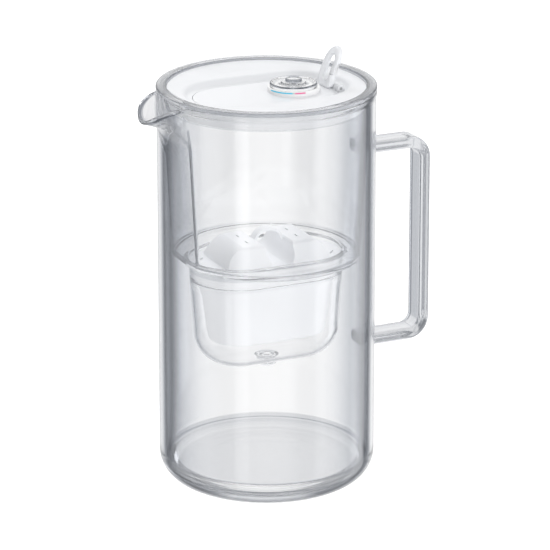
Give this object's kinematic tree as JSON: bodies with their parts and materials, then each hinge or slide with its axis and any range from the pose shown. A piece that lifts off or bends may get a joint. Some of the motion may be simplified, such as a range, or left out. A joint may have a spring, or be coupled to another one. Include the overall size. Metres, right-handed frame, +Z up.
{
  "type": "water filter pitcher with flip lid",
  "caption": "Clear round filter jug with bar handle and spout, lift-out hopper and cartridge, and a lid with a hinged fill flap and reminder dial.",
  "frame": {"origin": "centre of the jug's underside, where it stands on the table", "axes": "+Z up, +X towards the handle, -X towards the pouring spout, +Y to the left side seen from behind the handle"},
  "size_m": [0.2032, 0.143, 0.2871],
  "materials": {
    "jug_glass": "clear polished glass",
    "hopper_clear": "clear moulded plastic, gloss",
    "cartridge_white": "translucent white moulded plastic",
    "seal": "soft pale grey",
    "mesh": "fine woven screen",
    "media": "granular filter media",
    "lid_white": "white satin gloss",
    "steel_pin": "bright drawn wire",
    "loop_translucent": "milky translucent, gloss",
    "scale_printed": "white with printed bands",
    "knob_clear": "clear moulded plastic",
    "clip": "moulded plastic"
  },
  "bodies": {
    "jug": {"jug_body": "jug_glass", "jug_handle": "jug_glass"},
    "hopper": {"hopper": "hopper_clear", "cartridge_well": "hopper_clear", "well_outlet": "hopper_clear", "hopper_vent": "hopper_clear"},
    "cartridge": {"cartridge_cup": "cartridge_white", "cartridge_cap": "cartridge_white", "cartridge_seal": "seal", "upper_screen": "mesh", "lower_screen": "mesh", "filter_media": "media"},
    "lid": {"lid_shell": "lid_white", "hinge_pin": "steel_pin"},
    "flap": {"fill_flap": "lid_white", "thumb_loop": "loop_translucent", "dial_scale": "scale_printed"},
    "dial": {"dial_knob": "knob_clear", "dial_clip": "clip"}
  },
  "joints": [
    {"name": "hopper_lift", "type": "slide", "parent": "jug", "child": "hopper", "axis": [0, 0, 1], "range_m": [0, 0.2]},
    {"name": "cartridge_lift", "type": "slide", "parent": "hopper", "child": "cartridge", "axis": [0, 0, 1], "range_m": [0, 0.075]},
    {"name": "lid_lift", "type": "slide", "parent": "hopper", "child": "lid", "axis": [0, 0, 1], "range_m": [0, 0.08]},
    {"name": "flap_hinge", "type": "hinge", "parent": "lid", "child": "flap", "pos_m": [0.046, 0, 0.263], "axis": [0, 1, 0], "range_deg": [0, 50]},
    {"name": "dial_turn", "type": "hinge", "parent": "flap", "child": "dial", "pos_m": [0.0193, 0, 0.266], "axis": [0, 0, 1], "continuous": true}
  ]
}
